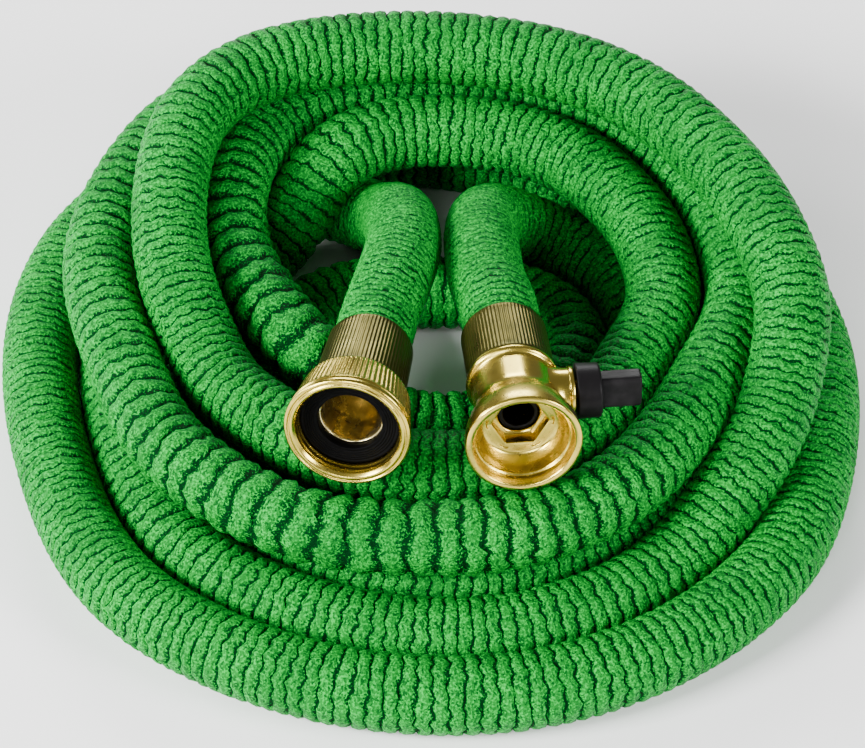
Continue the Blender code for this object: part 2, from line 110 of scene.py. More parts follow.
TURN_5 = (
    (120, 1213, 325), (132, 1155, 326), (145, 1080, 324), (160, 1005, 314), (170, 948, 318),
    (180, 897, 323), (192, 862, 322), (204, 858, 322), (216, 860, 320), (228, 855, 316),
    (240, 853, 310), (255, 843, 310), (270, 835, 312), (285, 835, 312), (300, 828, 313),
    (313, 811, 316), (325, 793, 322), (337, 788, 323), (347, 801, 322), (357, 840, 324),
    (8, 887, 324), (20, 922, 323), (35, 970, 323), (50, 1030, 323), (65, 1072, 323),
    (80, 1090, 323), (95, 1077, 323), (107, 1042, 323))
TURN_6 = (
    (117, 993, 330), (126, 918, 348), (134, 825, 354), (141, 743, 343), (149, 652, 328),
    (157, 565, 324), (166, 485, 323), (177, 420, 323), (188, 377, 318))
INNER_LOOP = (
    (-296, -125, 277), (-195, -180, 197), (-70, -190, 130), (70, -180, 107),
    (210, -140, 105), (330, -55, 105), (398, 70, 105), (394, 210, 105), (320, 325, 105),
    (200, 390, 105), (60, 407, 105), (-80, 405, 105), (-220, 388, 105), (-340, 323, 105))
TURN_7 = (
    (152, 473), (170, 457), (187, 450), (200, 452), (215, 481), (230, 510), (245, 530),
    (260, 548), (275, 560), (290, 562), (305, 553), (317, 547), (330, 573), (345, 612),
    (0, 642), (15, 657), (27, 665))
VALVE_RUN = (
    (562, 420, 105), (494, 515, 108), (399, 580, 120), (294, 600, 167), (205, 563, 240),
    (160, 490, 303), (146, 390, 356), (142, 272, 404), (147, 130, 449), (160, -10, 487))

# Spacing of the ribs in each part of the route: how far along that part, and the spacing
# there in tenths of a millimetre. A stretched sleeve has wide ribs, and a slack one narrow.
RIB_SPACING = {
    "coupling": ((0, 26),),
    "coupling_run": ((0.1, 27), (0.35, 34), (0.9, 42)),
    "turn_1": (
        (0.1, 46), (0.28, 45), (0.35, 38), (0.42, 36), (0.52, 41), (0.57, 36), (0.62, 29),
        (0.7, 33), (0.76, 40), (0.96, 38)),
    "turn_2": (
        (0.04, 45), (0.1, 37), (0.19, 30), (0.26, 36), (0.66, 38), (0.77, 31), (0.85, 35),
        (0.91, 42), (0.97, 40)),
    "turn_3": ((0.15, 44), (0.35, 36), (0.55, 36), (0.8, 43)),
    "turn_4": (
        (0.05, 36), (0.13, 31), (0.21, 32), (0.3, 33), (0.39, 41), (0.47, 40), (0.52, 33),
        (0.61, 33), (0.8, 42)),
    "turn_5": (
        (0.03, 46), (0.12, 49), (0.2, 48), (0.28, 56), (0.33, 71), (0.38, 83), (0.405, 78),
        (0.44, 59), (0.49, 56), (0.55, 41), (0.61, 40), (0.8, 45)),
    "turn_6": ((0.05, 47), (0.37, 60), (0.55, 75), (0.9, 72)),
    "inner_loop": ((0.15, 56), (0.6, 44)),
    "turn_7": ((0.5, 44),),
    "valve_run": ((0.2, 40), (0.6, 36), (0.95, 28)),
    "valve": ((0.9, 26),)}
# Half a groove's width as a share of the spacing, at four spacings.
GROOVE_SHARE = ((0.0028, 0.0040, 0.0056, 0.0083), (0.18, 0.17, 0.23, 0.27))
WAVES_ROUND = 12                            # wiggles of a groove round the hose
KNURL_FADE = 0.0008                         # length over which a knurl's groove runs out
DEEPEST_GROOVE = 0.0021
FLOOR_GAP = 0.0003                          # between the sleeve's underside and the floor
UV_LENGTH = 0.01                            # surface along an axis for one unit of V

# The camera looks at the coil from the front and above.
CAMERA_ELEVATION = radians(42.0)
CAMERA_DISTANCE = 1.300
CAMERA_LENS = 188.0
CAMERA_TARGET = Vector((0.0010, 0.0140, -0.0004))


class GardenHoseSizes(bpy.types.PropertyGroup):
    """Sizes of the dressing that a user may change."""
    hose_radius: FloatProperty(
        name="Hose radius", description="From the hose's middle to the top of its ribs",
        default=0.0109, unit='LENGTH', precision=4)
    rib_depth: FloatProperty(
        name="Rib depth", description="Depth of a groove as a share of the rib spacing",
        default=0.30, subtype='FACTOR', min=0.0, max=0.6)
    groove_wiggle: FloatProperty(
        name="Groove wiggle", description="How far a groove swings to each side",
        default=0.00034, unit='LENGTH', precision=5)
    knurl_depth: FloatProperty(
        name="Knurl depth", description="Depth of the grooves cut into the brass",
        default=0.00030, unit='LENGTH', precision=5)
    knurl_count: IntProperty(
        name="Knurl count", description="Grooves round each knurled piece", default=72)
    thread_pitch: FloatProperty(
        name="Thread pitch", description="Pitch of the thread inside the nut",
        default=0.0022, unit='LENGTH', precision=4)
    thread_height: FloatProperty(
        name="Thread height", description="Height of the thread inside the nut",
        default=0.0004, unit='LENGTH', precision=4)


class GardenHoseColours(bpy.types.PropertyGroup):
    """Colours of the dressing that a user may change."""
    fabric: FloatVectorProperty(
        name="Fabric", description="The sleeve's ribs", default=(0.0, 0.18, 0.016),
        subtype='COLOR', size=3)
    # Painted shade: the near-black colour painted into the sleeve's grooves, where shade
    # falls.
    groove_shade: FloatVectorProperty(
        name="Fabric groove", description="Deep in the sleeve's grooves",
        default=(0.0, 0.014, 0.002), subtype='COLOR', size=3)
    brass: FloatVectorProperty(
        name="Brass", description="Clean turned brass", default=(0.64, 0.49, 0.085),
        subtype='COLOR', size=3)
    # Painted reflection: the dull colour is tinted olive-green for the green hose reflected
    # in the brass; it is also the colour of real dull patches from handling.
    dull_brass_and_reflection: FloatVectorProperty(
        name="Dull brass", description="Brass dulled by handling, in its low places",
        default=(0.13, 0.12, 0.017), subtype='COLOR', size=3)
    rubber: FloatVectorProperty(
        name="Rubber", description="The washer and the seat",
        default=(0.0010, 0.0010, 0.0011), subtype='COLOR', size=3)
    plastic: FloatVectorProperty(
        name="Plastic", description="The lever", default=(0.006, 0.0055, 0.006),
        subtype='COLOR', size=3)
    floor: FloatVectorProperty(
        name="Floor", description="The studio floor", default=(0.95, 0.95, 0.95),
        subtype='COLOR', size=3)


def add_node(tree, kind, inputs=None, **settings):
    """A node with its settings made and its inputs linked or set, by name or by number."""
    node = tree.nodes.new(kind)
    for name, value in settings.items():
        setattr(node, name, value)
    for key, value in (inputs or {}).items():
        socket = node.inputs[key]
        if isinstance(value, bpy.types.NodeSocket):
            tree.links.new(value, socket)
        else:
            socket.default_value = value
    return node


def maths(tree, operation, first, second=0.0, clamp=False):
    return add_node(tree, "ShaderNodeMath", {0: first, 1: second}, operation=operation,
                    use_clamp=clamp).outputs[0]


def noise(tree, vector, scale, detail, **more):
    """The value of a noise texture at a vector."""
    return add_node(tree, "ShaderNodeTexNoise",
                    {"Vector": vector, "Scale": scale, "Detail": detail, **more}).outputs[0]


def mix_colours(tree, factor, first, second):
    return add_node(tree, "ShaderNodeMix", {0: factor, 6: first, 7: second},
                    data_type='RGBA').outputs[2]


def spread(tree, value, low, high, to_low=0.0, to_high=1.0):
    """value carried smoothly from the range low..high to the range to_low..to_high."""
    return add_node(tree, "ShaderNodeMapRange",
                    {0: value, 1: low, 2: high, 3: to_low, 4: to_high},
                    interpolation_type='SMOOTHSTEP').outputs[0]


def new_group(name, inputs, outputs):
    """An empty node group, and the sockets at its two ends. An input is a number with its
    default, or a vector where that is None. Each output is a number."""
    group = bpy.data.node_groups.new(name, 'ShaderNodeTree')
    for socket, value in inputs.items():
        kind = 'NodeSocketVector' if value is None else 'NodeSocketFloat'
        made = group.interface.new_socket(socket, in_out='INPUT', socket_type=kind)
        if value is not None:
            made.default_value = value
    for socket in outputs:
        group.interface.new_socket(socket, in_out='OUTPUT', socket_type='NodeSocketFloat')
    return (group, group.nodes.new("NodeGroupInput").outputs,
            group.nodes.new("NodeGroupOutput").inputs)


def use_group(tree, group, inputs):
    """The outputs of a node that uses the group."""
    return add_node(tree, "ShaderNodeGroup", inputs, node_tree=group).outputs


def knit_group():
    """The sleeve's yarn. A noise is drawn on a cylinder, cos and sin of the angle round the
    hose and the distance along it, and is 2.4 times finer along the hose, so that its
    grains are strokes that run round it. Two finer noises add yarn and fibres, and a coarse
    one patches."""
    name = "hose_knit"
    if name in bpy.data.node_groups:
        return bpy.data.node_groups[name]
    group, given, made = new_group(
        name, {"Round": 0.0, "Along": 0.0, "Place": None, "Stroke": 560.0},
        ("Strokes", "Yarn", "Fibres", "Patches"))
    turn = maths(group, 'MULTIPLY', given["Round"], tau)
    across, upwards = (maths(group, 'MULTIPLY', maths(group, wave, turn), 0.0106)
                       for wave in ('COSINE', 'SINE'))
    squeezed = maths(group, 'MULTIPLY', given["Along"], 2.4 * UV_LENGTH)
    cylinder = add_node(group, "ShaderNodeCombineXYZ",
                        {0: across, 1: upwards, 2: squeezed}).outputs[0]
    for socket, value in zip(made, (
            noise(group, cylinder, given["Stroke"], 2.0, Roughness=0.55, Distortion=0.4),
            noise(group, given["Place"], 1500.0, 1.0, Roughness=0.6),
            noise(group, given["Place"], 3600.0, 2.0, Roughness=0.7),
            noise(group, given["Place"], 60.0, 3.0))):
        group.links.new(value, socket)
    return group


def wear_group():
    """Handling on metal, rubber and plastic: large soft patches, small specks, and fine
    marks drawn out round the turned surface, from three noises."""
    name = "handling_wear"
    if name in bpy.data.node_groups:
        return bpy.data.node_groups[name]
    group, given, made = new_group(
        name, {"Place": None, "Surface": None, "Patch Scale": 90.0, "Speck Scale": 900.0},
        ("Patches", "Specks", "Tool Marks"))
    drawn = add_node(group, "ShaderNodeMapping",
                     {"Vector": given["Surface"], "Scale": (3.0, 60.0, 1.0)}).outputs[0]
    for socket, value in zip(made, (
            noise(group, given["Place"], given["Patch Scale"], 4.0, Roughness=0.6),
            noise(group, given["Place"], given["Speck Scale"], 2.0),
            noise(group, drawn, 1.0, 3.0))):
        group.links.new(value, socket)
    return group


def handling(tree, surface=None, **scales):
    """The wear at the object's own coordinates, with its tool marks drawn on a surface."""
    place_in = add_node(tree, "ShaderNodeTexCoord").outputs["Object"]
    inputs = {"Place": place_in, "Surface": place_in if surface is None else surface}
    inputs.update((name.replace("_", " "), value) for name, value in scales.items())
    return use_group(tree, wear_group(), inputs)


def new_material(name):
    """A material with only its Principled shader, and its node tree."""
    made = bpy.data.materials.new(name)
    made.use_nodes = True
    return made, made.node_tree, made.node_tree.nodes["Principled BSDF"]


def colour(value, factor=1.0):
    """A shader's colour: the three values times factor, and none over 1."""
    return (*(min(1.0, c * factor) for c in value), 1.0)


def link_finish(tree, shader, base, roughness, height, strength, distance):
    """Link a colour, a roughness and, by a bump node, a height to the shader."""
    bump = add_node(tree, "ShaderNodeBump",
                    {"Height": height, "Strength": strength, "Distance": distance})
    for name, value in (("Base Color", base), ("Roughness", roughness),
                        ("Normal", bump.outputs[0])):
        tree.links.new(value, shader.inputs[name])


def fabric_material(colours):
    """The green knit: brighter strokes of yarn on the ribs, partly the yarn's own tone and
    partly painted sheen, darker between the strokes, and painted shade in the grooves, with
    a few yarn loops left less dark there."""
    made, tree, shader = new_material("green_knit")
    groove = add_node(tree, "ShaderNodeAttribute", attribute_name="groove").outputs["Fac"]
    surface = add_node(tree, "ShaderNodeUVMap", uv_map="surface").outputs[0]
    split = add_node(tree, "ShaderNodeSeparateXYZ", {0: surface}).outputs
    knit = use_group(tree, knit_group(), {
        "Round": split[0], "Along": split[1],
        "Place": add_node(tree, "ShaderNodeTexCoord").outputs["Object"]})
    strokes, yarn, fibres = knit["Strokes"], knit["Yarn"], knit["Fibres"]
    # The brighter colour, 2.3 times the fabric, is partly lighter yarn and partly painted
    # sheen: the knit's highlights painted into its colour.
    green, bright_yarn_sheen, deep = (colour(colours.fabric, factor) for factor in (1.0, 2.3, 0.32))
    base = mix_colours(tree, spread(tree, strokes, 0.38, 0.54), deep, green)
    base = mix_colours(tree, spread(tree, yarn, 0.47, 0.66), base, bright_yarn_sheen)
    base = mix_colours(tree, spread(tree, knit["Patches"], 0.60, 0.30, 0.0, 0.35),
                       base, deep)
    # Painted shade in the grooves: the groove attribute, broken up by the yarn, mixes in the
    # near-black groove colour; a few yarn loops stay less dark.
    groove_shade_mask = maths(tree, 'ADD', groove, maths(tree, 'MULTIPLY', maths(
        tree, 'SUBTRACT', 0.5, yarn), 1.5))
    loops = mix_colours(tree, spread(tree, yarn, 0.56, 0.68, 0.0, 0.8),
                        colour(colours.groove_shade), deep)
    base = mix_colours(tree, spread(tree, groove_shade_mask, 0.14, 0.74), base, loops)
    height = maths(tree, 'ADD', strokes, maths(
        tree, 'ADD', maths(tree, 'MULTIPLY', yarn, 0.8),
        maths(tree, 'MULTIPLY', fibres, 0.3)))
    rough = maths(tree, 'ADD', spread(tree, fibres, 0.3, 0.7, 0.40, 0.62),
                  maths(tree, 'MULTIPLY', groove, 0.5), clamp=True)
    link_finish(tree, shader, base, rough, height, 0.85, 0.0006)
    shader.inputs["Specular IOR Level"].default_value = 0.14
    shader.inputs["Specular Tint"].default_value = (0.2, 1.0, 0.35, 1.0)
    return made


def brass_material(name, colours, roughness, marks, dulled=0.5, least=0.0, pale=0.0,
                   darkening=0.0, has_uv=True):
    """Brass with tool marks in its bump, as strong as marks. The dull colour has a share of
    least everywhere and dulled in its patches, but at least 0.2 more; it is dull brass
    tinted olive-green as a painted reflection of the green hose. pale draws the clean colour
    towards grey, and darkening (the argument after pale) darkens both colours."""
    made, tree, shader = new_material(name)
    surface = add_node(tree, "ShaderNodeUVMap", uv_map="surface").outputs[0] \
        if has_uv else None
    wear = handling(tree, surface)
    dull = spread(tree, wear["Patches"], 0.42, 0.72, least, max(dulled, least + 0.2))
    clean = colour([c + (0.62 - c) * pale for c in colours.brass], 1.0 - darkening)
    base = mix_colours(tree, dull, clean, colour(colours.dull_brass_and_reflection, 1.0 - darkening))
    base = mix_colours(tree, spread(tree, wear["Specks"], 0.66, 0.74, 0.0, 0.5), base,
                       colour(colours.dull_brass_and_reflection, 0.45))
    rough = spread(tree, wear["Patches"], 0.3, 0.7, roughness - 0.06, roughness + 0.10)
    height = maths(tree, 'ADD', maths(tree, 'MULTIPLY', wear["Tool Marks"], marks),
                   maths(tree, 'MULTIPLY', wear["Specks"], 0.3))
    link_finish(tree, shader, base, rough, height, 0.6, 0.00004)
    shader.inputs["Metallic"].default_value = 1.0
    return made


def black_material(name, value, roughness, grain, gloss):
    """Black rubber or plastic, with grain as the strength of its bump, gloss as its
    specular level, and patches rubbed to three times its colour."""
    made, tree, shader = new_material(name)
    wear = handling(tree, Speck_Scale=1600.0)
    base = mix_colours(tree, spread(tree, wear["Patches"], 0.45, 0.75), colour(value),
                       colour(value, 3.0))
    rough = spread(tree, wear["Patches"], 0.3, 0.7, roughness, roughness + 0.15)
    link_finish(tree, shader, base, rough, wear["Specks"], grain, 0.00008)
    shader.inputs["Specular IOR Level"].default_value = gloss
    return made


def ball_shade_material(colours):
    """The ball, painted near black as painted shade for the dark inside of the valve, with
    small patches of dull brass.
    """
    made, tree, shader = new_material("dark_ball_shade")
    wear = handling(tree, Patch_Scale=260.0)
    base = mix_colours(tree, spread(tree, wear["Patches"], 0.60, 0.72),
                       (0.05, 0.047, 0.043, 1.0), colour(colours.dull_brass_and_reflection))
    link_finish(tree, shader, base, spread(tree, wear["Specks"], 0.3, 0.7, 0.18, 0.34),
                wear["Specks"], 0.3, 0.00003)
    shader.inputs["Metallic"].default_value = 1.0
    return made


def grid_faces(rows, columns, closed_rows):
    """Quads of a grid whose columns wrap round, and whose rows wrap too if closed_rows."""
    row = np.arange(rows if closed_rows else rows - 1)[:, None]
    column = np.arange(columns)[None, :]
    after = (row + 1) % rows
    beside = (column + 1) % columns
    corners = (row * columns + column, row * columns + beside,
               after * columns + beside, after * columns + column)
    return np.stack([np.broadcast_to(c, (len(row), columns)) for c in corners],
                    axis=-1).reshape(-1, 4)


def enclosed_volume(points, faces):
    """Signed volume of a closed mesh of quads, positive where the faces point outwards."""
    a, b, c, d = (points[faces[:, i]] for i in range(4))
    return float(np.einsum('ij,ij->', a, np.cross(b, c))
                 + np.einsum('ij,ij->', a, np.cross(c, d)))


def surface_mesh(name, shells, material):
    """A smooth mesh of one or more grid shells.

    Each shell is (points, round_at, along_at, closed_rows, caps): points by row and column,
    the UV coordinate of each column and row, whether the rows close, and whether the first
    and last rows are closed by a fan."""
    all_points, all_faces, all_uv, count = [], [], [], 0
    for points, round_at, along_at, closed_rows, caps in shells:
        rows, columns = points.shape[:2]
        flat = points.reshape(-1, 3)
        quads = grid_faces(rows, columns, closed_rows)
        round_edges, along_edges = (np.append(at, 2 * at[-1] - at[-2])
                                    for at in (round_at, along_at))
        row, column = np.divmod(np.arange(len(quads)), columns)
        corner_uv = np.stack([
            np.stack((round_edges[column + over], along_edges[row + up]), -1)
            for over, up in ((0, 0), (1, 0), (1, 1), (0, 1))], 1)
        if enclosed_volume(flat - flat.mean(axis=0), quads) < 0:
            quads, corner_uv = quads[:, ::-1], corner_uv[:, ::-1]
        all_faces += (quads + count).tolist()
        all_uv.append(corner_uv.reshape(-1, 2))
        if caps:
            around = np.arange(columns)
            beside = (around + 1) % columns
            for start, pole, order in ((0, rows * columns, 1),
                                       ((rows - 1) * columns, rows * columns + 1, -1)):
                fan = np.stack((start + beside, start + around, np.full(columns, pole)), -1)
                all_faces += (fan[:, ::order] + count).tolist()
                all_uv.append(np.zeros((columns * 3, 2)))
            flat = np.vstack((flat, points[0].mean(axis=0), points[-1].mean(axis=0)))
        all_points.append(flat)
        count += len(flat)
    mesh = bpy.data.meshes.new(name)
    mesh.from_pydata(np.vstack(all_points), [], all_faces)
    mesh.uv_layers.new(name="surface").data.foreach_set(
        "uv", np.vstack(all_uv).astype(np.float32).ravel())
    mesh.polygons.foreach_set("use_smooth", np.ones(len(mesh.polygons), dtype=bool))
    mesh.materials.append(material)
    mesh.validate()
    obj = bpy.data.objects.new(name, mesh)
    bpy.context.scene.collection.objects.link(obj)
    return obj


def fitting_axes(back, mouth):
    """Unit vectors of a fitting: level to the right, upwards, and to its mouth."""
    along = (mouth - back) / np.linalg.norm(mouth - back)
    level = np.cross((0.0, 0.0, 1.0), along)
    level /= np.linalg.norm(level)
    return level, np.cross(along, level), along


COUPLING_AXES = fitting_axes(COUPLING_BACK, COUPLING_MOUTH)
VALVE_AXES = fitting_axes(VALVE_BACK, VALVE_MOUTH)
STEM_ORIGIN = VALVE_BACK + VALVE_AXES[2] * STEM_AT


def place(points, origin, axes):
    """Points given along three unit vectors, carried to the row frame."""
    return origin + sum(points[..., i:i + 1] * axes[i] for i in range(3))


def steps_along(points):
    """The lengths of the steps from each point to the next."""
    return np.linalg.norm(np.diff(points, axis=0), axis=1)


def running_sum(steps):
    return np.concatenate(([0.0], np.cumsum(steps)))


def outline(corners, longest, steps=5):
    """A closed outline through (radius, distance, rounding) corners. Each corner becomes an
    arc-like blend: a quadratic curve between the points one rounding away on each side."""
    path = []
    share = np.linspace(0.0, 1.0, steps + 1)[:, None]
    ahead = corners[1:] + corners[:1]
    for i, (radius, along, rounding) in enumerate(corners):
        here = np.array((radius, along))
        if rounding <= 0.0:
            path.append(here[None, :])
            continue
        to_before, to_after = corners[i - 1][:2] - here, ahead[i][:2] - here
        start, end = (here + way * min(rounding / np.linalg.norm(way), 0.48)
                      for way in (to_before, to_after))
        path.append((1 - share) ** 2 * start + 2 * share * (1 - share) * here
                    + share ** 2 * end)
    return finer(np.vstack(path), longest)


def finer(path, longest):
    """The closed outline with points added so that no step along it is over longest."""
    after = np.roll(path, -1, axis=0)
    steps = np.linalg.norm(after - path, axis=1)
    pieces = np.maximum(1, np.ceil(steps / longest)).astype(int)
    start = np.repeat(np.arange(len(path)), pieces)
    share = np.concatenate([np.arange(n) / n for n in pieces])[:, None]
    return path[start] * (1 - share) + after[start] * share


def turned_shell(path, columns, origin, axes, offset=0.0):
    """A closed outline of (radius, distance) turned round a fitting's axis:
    (radius + offset) times (cos, sin) of the angle, and distance along the axis."""
    angle = np.arange(columns) * tau / columns
    radius = np.repeat(path[:, :1], columns, axis=1) + offset
    along = np.repeat(path[:, 1:], columns, axis=1)
    local = np.stack((radius * np.cos(angle), radius * np.sin(angle), along), axis=-1)
    along_at = running_sum(steps_along(path)) / UV_LENGTH
    return place(local, origin, axes), angle / tau * 8.0, along_at, True, False


def knurl(path, columns, depth, first, last, inside):
    """Grooves parallel to the axis: four columns to a groove, cut to depth where the
    outline's radius is over inside, between two distances, and fading out at both ends."""
    shape = np.array((1.0, 0.25, 0.0, 0.25))[np.arange(columns) % 4]
    radius, along = path.T
    strength = ((radius > inside) * np.clip((along - first) / KNURL_FADE, 0, 1)
                * np.clip((last - along) / KNURL_FADE, 0, 1))
    return -depth * strength[:, None] * shape[None, :]


def route():
    """The listed points with straight leads, and the index where each part starts."""
    points, starts = [], {}

    def add(name, rows):
        starts[name] = len(points)
        points.extend(rows)

    def run(rows):
        return np.array(rows) / TENTHS + COIL_CENTRE

    def turn(rows):
        bearing, radius, height = np.array([(*row, ON_FLOOR)[:3] for row in rows]).T
        bearing, radius, height = np.radians(bearing), radius / TENTHS, height / TENTHS
        return np.stack((radius * np.cos(bearing), radius * np.sin(bearing), height),
                        axis=-1) + COIL_CENTRE

    add("coupling", [COUPLING_BACK - COUPLING_AXES[2] * lead for lead in STRAIGHT_LEAD])
    add("coupling_run", run(COUPLING_RUN))
    for number, rows in enumerate((TURN_1, TURN_2, TURN_3, TURN_4, TURN_5, TURN_6), 1):
        add(f"turn_{number}", turn(rows))
    add("inner_loop", run(INNER_LOOP))
    add("turn_7", turn(TURN_7))
    add("valve_run", run(VALVE_RUN))
    add("valve", [VALVE_BACK - VALVE_AXES[2] * lead for lead in reversed(STRAIGHT_LEAD)])
    return np.array(points), starts


def smooth_curve(points, along):
    """Points at the given chord distances on the natural cubic spline through points."""
    gaps = steps_along(points)
    stations = running_sum(gaps)
    count = len(points)
    system, rhs = np.eye(count), np.zeros((count, 3))
    inner = np.arange(1, count - 1)
    system[inner, inner - 1] = gaps[:-1]
    system[inner, inner] = 2 * (gaps[:-1] + gaps[1:])
    system[inner, inner + 1] = gaps[1:]
    slopes = np.diff(points, axis=0) / gaps[:, None]
    rhs[inner] = 6 * np.diff(slopes, axis=0)
    bend = np.linalg.solve(system, rhs)
    left = np.clip(np.searchsorted(stations, along, side='right') - 1, 0, count - 2)
    gap = gaps[left][:, None]
    to_right = (stations[left + 1] - along)[:, None]
    to_left = (along - stations[left])[:, None]
    return ((bend[left] * to_right ** 3 + bend[left + 1] * to_left ** 3) / (6 * gap)
            + (points[left] / gap - bend[left] * gap / 6) * to_right
            + (points[left + 1] / gap - bend[left + 1] * gap / 6) * to_left)


def centre_line():
    """The hose's centre line every half millimetre, and the arc length at each part."""
    points, starts = route()
    chords = running_sum(steps_along(points))
    along = np.linspace(0.0, chords[-1], int(chords[-1] / 0.0005))
    line = smooth_curve(points, along)
    length = running_sum(steps_along(line))
    marks = {name: float(np.interp(chords[index], along, length))
             for name, index in starts.items()}
    return line, length, marks


def ribs_along(length, marks):
    """Spacing of the ribs at each length, and how many ribs lie before it: the integral of
    one over the spacing."""
    ends = dict(zip(marks, list(marks.values())[1:] + [float(length[-1])]))
    knots = [(marks[name] + share * (ends[name] - marks[name]), spacing / TENTHS)
             for name, rows in RIB_SPACING.items() for share, spacing in rows]
    spacing = np.interp(length, *np.array(knots).T)
    return spacing, running_sum(np.diff(length) * 2 / (spacing[1:] + spacing[:-1]))


def wander(along, seed, *waves):
    """A slow unrepeating swing between about -1 and 1: the mean of sines of the given
    wavelengths, with phases drawn from the seed."""
    phases = np.random.default_rng(seed).uniform(0, tau, len(waves))
    return sum(np.sin(along * tau / wave + phase)
               for wave, phase in zip(waves, phases)) / len(waves)


def hose_surface(sizes):
    """The gathered sleeve: rings carried along the centre line, four to a rib: in the
    groove, at its two edges and on the crest.

    The groove is a share of the spacing that is larger where the sleeve is stretched. Each
    vertex also slides along the line: by turns forwards and back round the ring, which
    makes the grooves zigzag; by slow sines, which lean the ribs; and at the groove's edges
    by lumps, sines of the angle with a phase that changes from rib to rib. The underside
    is pressed flat just above the floor."""
    line, length, marks = centre_line()
    spacing, before = ribs_along(length, marks)
    total = int(before[-1])
    columns = 2 * WAVES_ROUND
    column = np.arange(columns)

    rib = np.repeat(np.arange(total), 4)
    part = np.tile(np.arange(4), total)
    rib_spacing = np.interp(np.interp(rib + 0.5, before, length), length, spacing)
    edge = np.interp(rib_spacing, *GROOVE_SHARE)
    phase = np.select([part == 0, part == 1, part == 2], [0.0, edge, 0.5], 1.0 - edge)
    rib, part = np.append(rib, total), np.append(part, 0)
    phase, rib_spacing = np.append(phase, 0.0), np.append(rib_spacing, rib_spacing[-1])
    at_rib = (rib + phase) * before[-1] / total
    ring_length = np.interp(at_rib, before, length)
    from_end = np.minimum(ring_length, length[-1] - ring_length)
    calm = np.clip(from_end / 0.006, 0.0, 1.0)[:, None]
    wide = np.clip((rib_spacing - 0.0042) / 0.004, 0.0, 1.0)[:, None]

    twist = 0.30 * wander(ring_length, 3, 0.061, 0.113, 0.29)
    angle = column * tau / columns + twist[:, None]
    zigzag = np.where(column % 2, 1.0, -1.0)[None, :]
    number = rib[:, None]
    swing = sizes.groove_wiggle * (1.0 + 0.5 * wander(ring_length, 5, 0.017, 0.041)[:, None]
                                   + 0.4 * np.sin(3 * angle + ring_length[:, None] * 80))
    lean = (0.12 * rib_spacing[:, None]
            * (np.sin(angle + number * 0.31) * wander(number, 7, 5.3, 13.0)
               + 0.7 * np.sin(4 * angle + number * 1.7)))
    lump = (np.sin(7 * angle + number * 2.1) + np.sin(5 * angle - number * 1.3)
            + np.sin(11 * angle + number * 3.7)) / 3
    other = (np.sin(6 * angle + number * 4.3) + np.sin(9 * angle - number * 2.9)) / 2
    side_of = np.select([part == 1, part == 3], [1.0, -1.0], 0.0)[:, None]
    lumps = (0.10 + 0.05 * wide) * rib_spacing[:, None] * side_of * np.where(
        side_of > 0, lump, other)
    slide = calm * (zigzag * swing + lean + lumps)
    at = np.clip(ring_length[:, None] + slide, 0.0, length[-1])

    depth = np.minimum(sizes.rib_depth * rib_spacing, DEEPEST_GROOVE)[:, None]
    fall = np.select([part == 0, part == 2], [1.0, 0.0], 0.20 + 0.18 * wide[:, 0])[:, None]
    radius = sizes.hose_radius - depth * fall
    crest = (part == 2)[:, None]
    radius = radius - np.where(crest, (0.05 + 0.20 * wide) * depth * (1 + lump),
                               0.10 * depth * (part != 0)[:, None] * (1 + other))
    radius = radius * (1 - 0.035 * (1 - calm))

    centre, ahead = (
        np.stack([np.interp(at, length, values[:, i]) for i in range(3)], axis=-1)
        for values in (line, np.gradient(line, length, axis=0)))
    ahead /= np.linalg.norm(ahead, axis=-1, keepdims=True)
    side = np.cross(ahead, (0.0, 0.0, 1.0))
    side /= np.linalg.norm(side, axis=-1, keepdims=True)
    up = np.cross(side, ahead)
    points = (centre + radius[..., None] * (np.cos(angle)[..., None] * side
                                            + np.sin(angle)[..., None] * up))
    points[..., 2] = np.maximum(points[..., 2], FLOOR_GAP)
    # Painted groove shade as a value per ring: nearly full in the groove, a little at its
    # edges, none on the crest; wide ribs get a softer, wider shade.
    groove = np.select([part == 0, part == 2], [1.0 - 0.10 * wide[:, 0], 0.0],
                       0.05 + 0.18 * wide[:, 0])
    every = np.linspace(0, len(line) - 1, 1200).astype(int)
    return points, column / columns, ring_length, groove, line[every], float(length[-1])


class GARDENHOSE_OT_hose(bpy.types.Operator):
    """Build the ribbed sleeve along the hose's route"""
    bl_idname = "garden_hose.hose"
    bl_label = "Hose"

    def execute(self, context):
        sizes, colours = context.scene.garden_hose_sizes, context.scene.garden_hose_colours
        points, round_at, along_at, grooves, path, length = hose_surface(sizes)
        shell = (points, round_at, along_at / UV_LENGTH, False, True)
        hose = surface_mesh("ribbed_hose", [shell], fabric_material(colours))
        columns = points.shape[1]
        # The groove attribute carries the painted groove shade to the fabric; the two poles
        # of the end caps get full shade.
        values = np.append(np.repeat(grooves, columns), (1.0, 1.0))
        attribute = hose.data.attributes.new("groove", 'FLOAT', 'POINT')
        attribute.data.foreach_set("value", values.astype(np.float32))
        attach(hose, "hose")
        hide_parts("hose_sleeve")
        return {'FINISHED'}


def ferrule_shell(back, axes, length, front_radius, sizes):
    """A tapered ring, knurled along its whole length but for a plain edge at each end."""
    path = outline([
        (front_radius, length, 0.0006), (0.0089, length, 0.0), (0.0089, 0.0, 0.0),
        (0.0118, 0.0, 0.0007)], 0.0009)
    columns = 4 * sizes.knurl_count
    cut = knurl(path, columns, sizes.knurl_depth, 0.0007, length - 0.0007, 0.0100)
    return turned_shell(path, columns, back, axes, cut)


